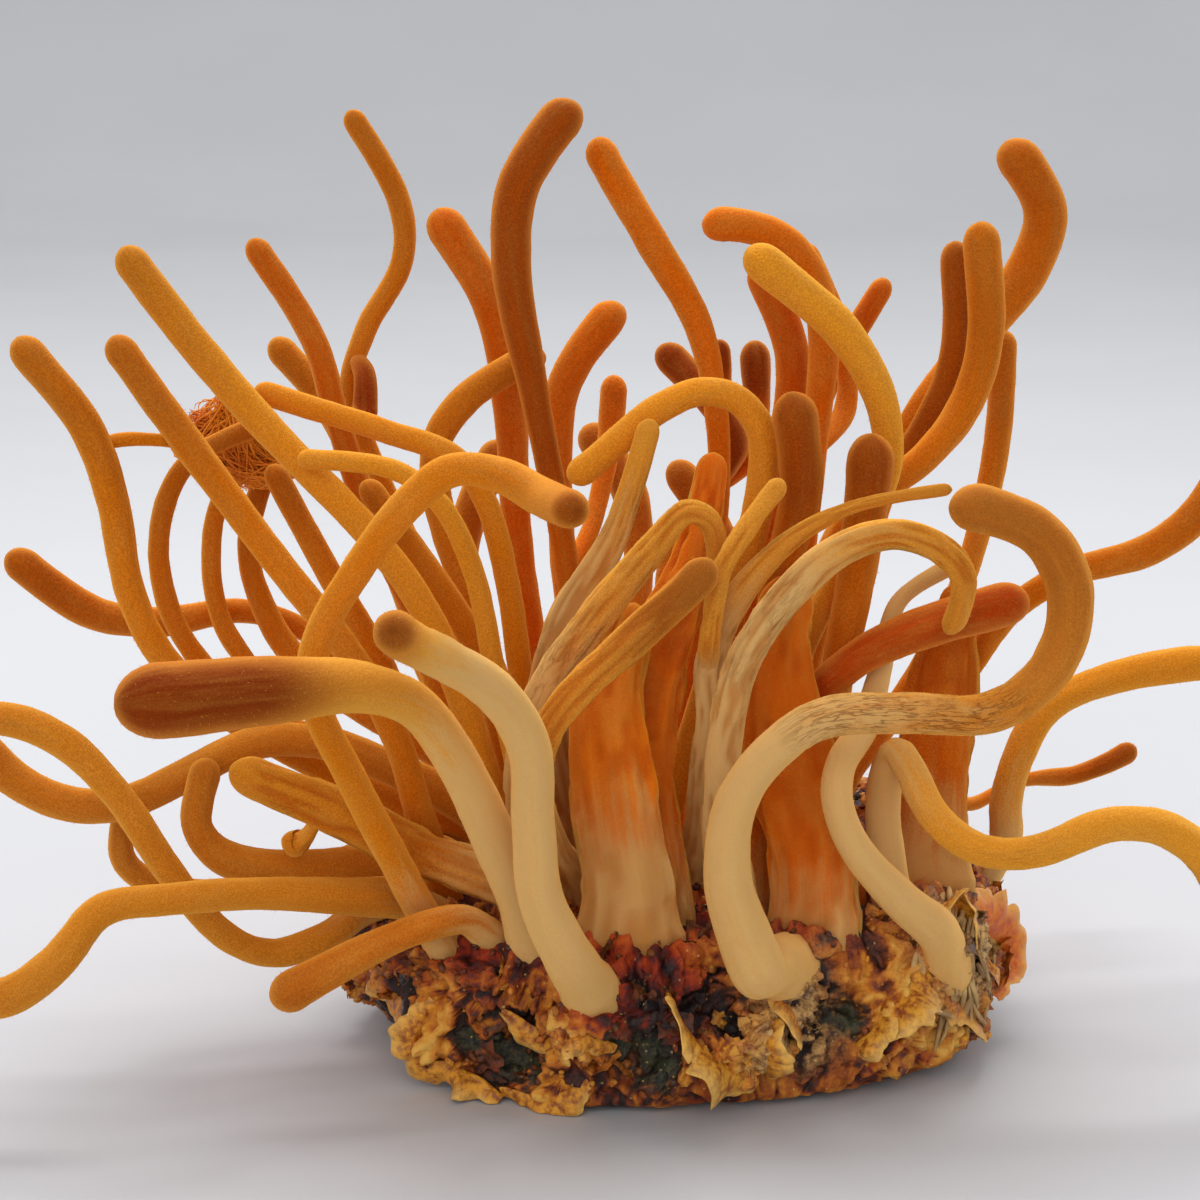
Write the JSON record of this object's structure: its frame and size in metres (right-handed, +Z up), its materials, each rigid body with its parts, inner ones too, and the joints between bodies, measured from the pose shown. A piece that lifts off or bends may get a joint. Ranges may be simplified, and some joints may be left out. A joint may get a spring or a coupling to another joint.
{
  "type": "cordyceps bunch",
  "caption": "Bunch of slender club-shaped fungus stalks, cream at the foot and orange at the tip, growing out of a crusty loose block of substrate.",
  "frame": {"origin": "middle of the substrate block's flat underside", "axes": "+Z up along the growth, -Y towards the bunch's front with the hooked stalk, +X to its right, along the bunch's longest side"},
  "size_m": [0.1356, 0.1065, 0.0933],
  "materials": {
    "substrate": "dry crust of grain and fungus threads, ochre ridges over dark maroon pits",
    "front_stalk": "soft fungus flesh with a fine velvety skin, cream with tan to orange tips",
    "centre_stalk": "soft fungus flesh in broad furrowed columns, pale orange",
    "right_stalk": "soft fungus flesh with a fine velvety skin, orange",
    "crown_stalk": "soft fungus flesh with a fine velvety skin, deep orange with brown-orange clubs",
    "left_stalk": "soft fungus flesh with a fine velvety skin, orange with darker clubs",
    "low_stalk": "soft fungus flesh with a fine velvety skin, tan orange",
    "back_stalk": "soft fungus flesh with a fine velvety skin, orange"
  },
  "bodies": {
    "root": {"substrate_block": "substrate", "front_hook": "front_stalk", "front_near_club": "front_stalk", "front_pointing": "front_stalk", "front_lean_right": "front_stalk", "front_trailing": "front_stalk", "front_red_club": "front_stalk", "front_furrowed_tip": "front_stalk", "front_furrowed_arch": "front_stalk", "front_pale_fan": "front_stalk", "front_furrowed_left": "front_stalk", "front_brown_tip": "front_stalk", "centre_pale_column": "centre_stalk", "centre_orange_column": "centre_stalk", "centre_right_column": "centre_stalk", "right_tall_front": "right_stalk", "right_tall_back": "right_stalk", "right_big_club": "right_stalk", "right_behind": "right_stalk", "right_rising": "right_stalk", "right_level": "right_stalk", "right_thin_knob": "right_stalk", "right_pale_column": "right_stalk", "right_ball_tip": "right_stalk", "crown_tall": "crown_stalk", "crown_left": "crown_stalk", "crown_back_curl": "crown_stalk", "crown_slim": "crown_stalk", "crown_far_dark": "crown_stalk", "crown_curled_over": "crown_stalk", "crown_golden": "crown_stalk", "crown_under_golden": "crown_stalk", "crown_side_tip": "crown_stalk", "crown_thick_brown": "crown_stalk", "crown_arch": "crown_stalk", "left_outer": "left_stalk", "left_second": "left_stalk", "left_long": "left_stalk", "left_orange": "left_stalk", "left_question": "left_stalk", "left_far": "left_stalk", "left_level_upper": "left_stalk", "left_level_lower": "left_stalk", "left_near_bridge": "left_stalk", "left_low_club": "left_stalk", "left_inner_pair": "left_stalk", "left_inner_fork": "left_stalk", "left_inner_thick": "left_stalk", "left_arch": "left_stalk", "low_long": "low_stalk", "low_wavy": "low_stalk", "low_s_curve": "low_stalk", "low_blunt": "low_stalk", "low_broken": "low_stalk", "low_hidden_curl": "low_stalk", "low_broad_curl": "low_stalk", "back_left": "back_stalk", "back_middle": "back_stalk", "back_right": "back_stalk", "back_inner": "back_stalk"}
  },
  "joints": []
}
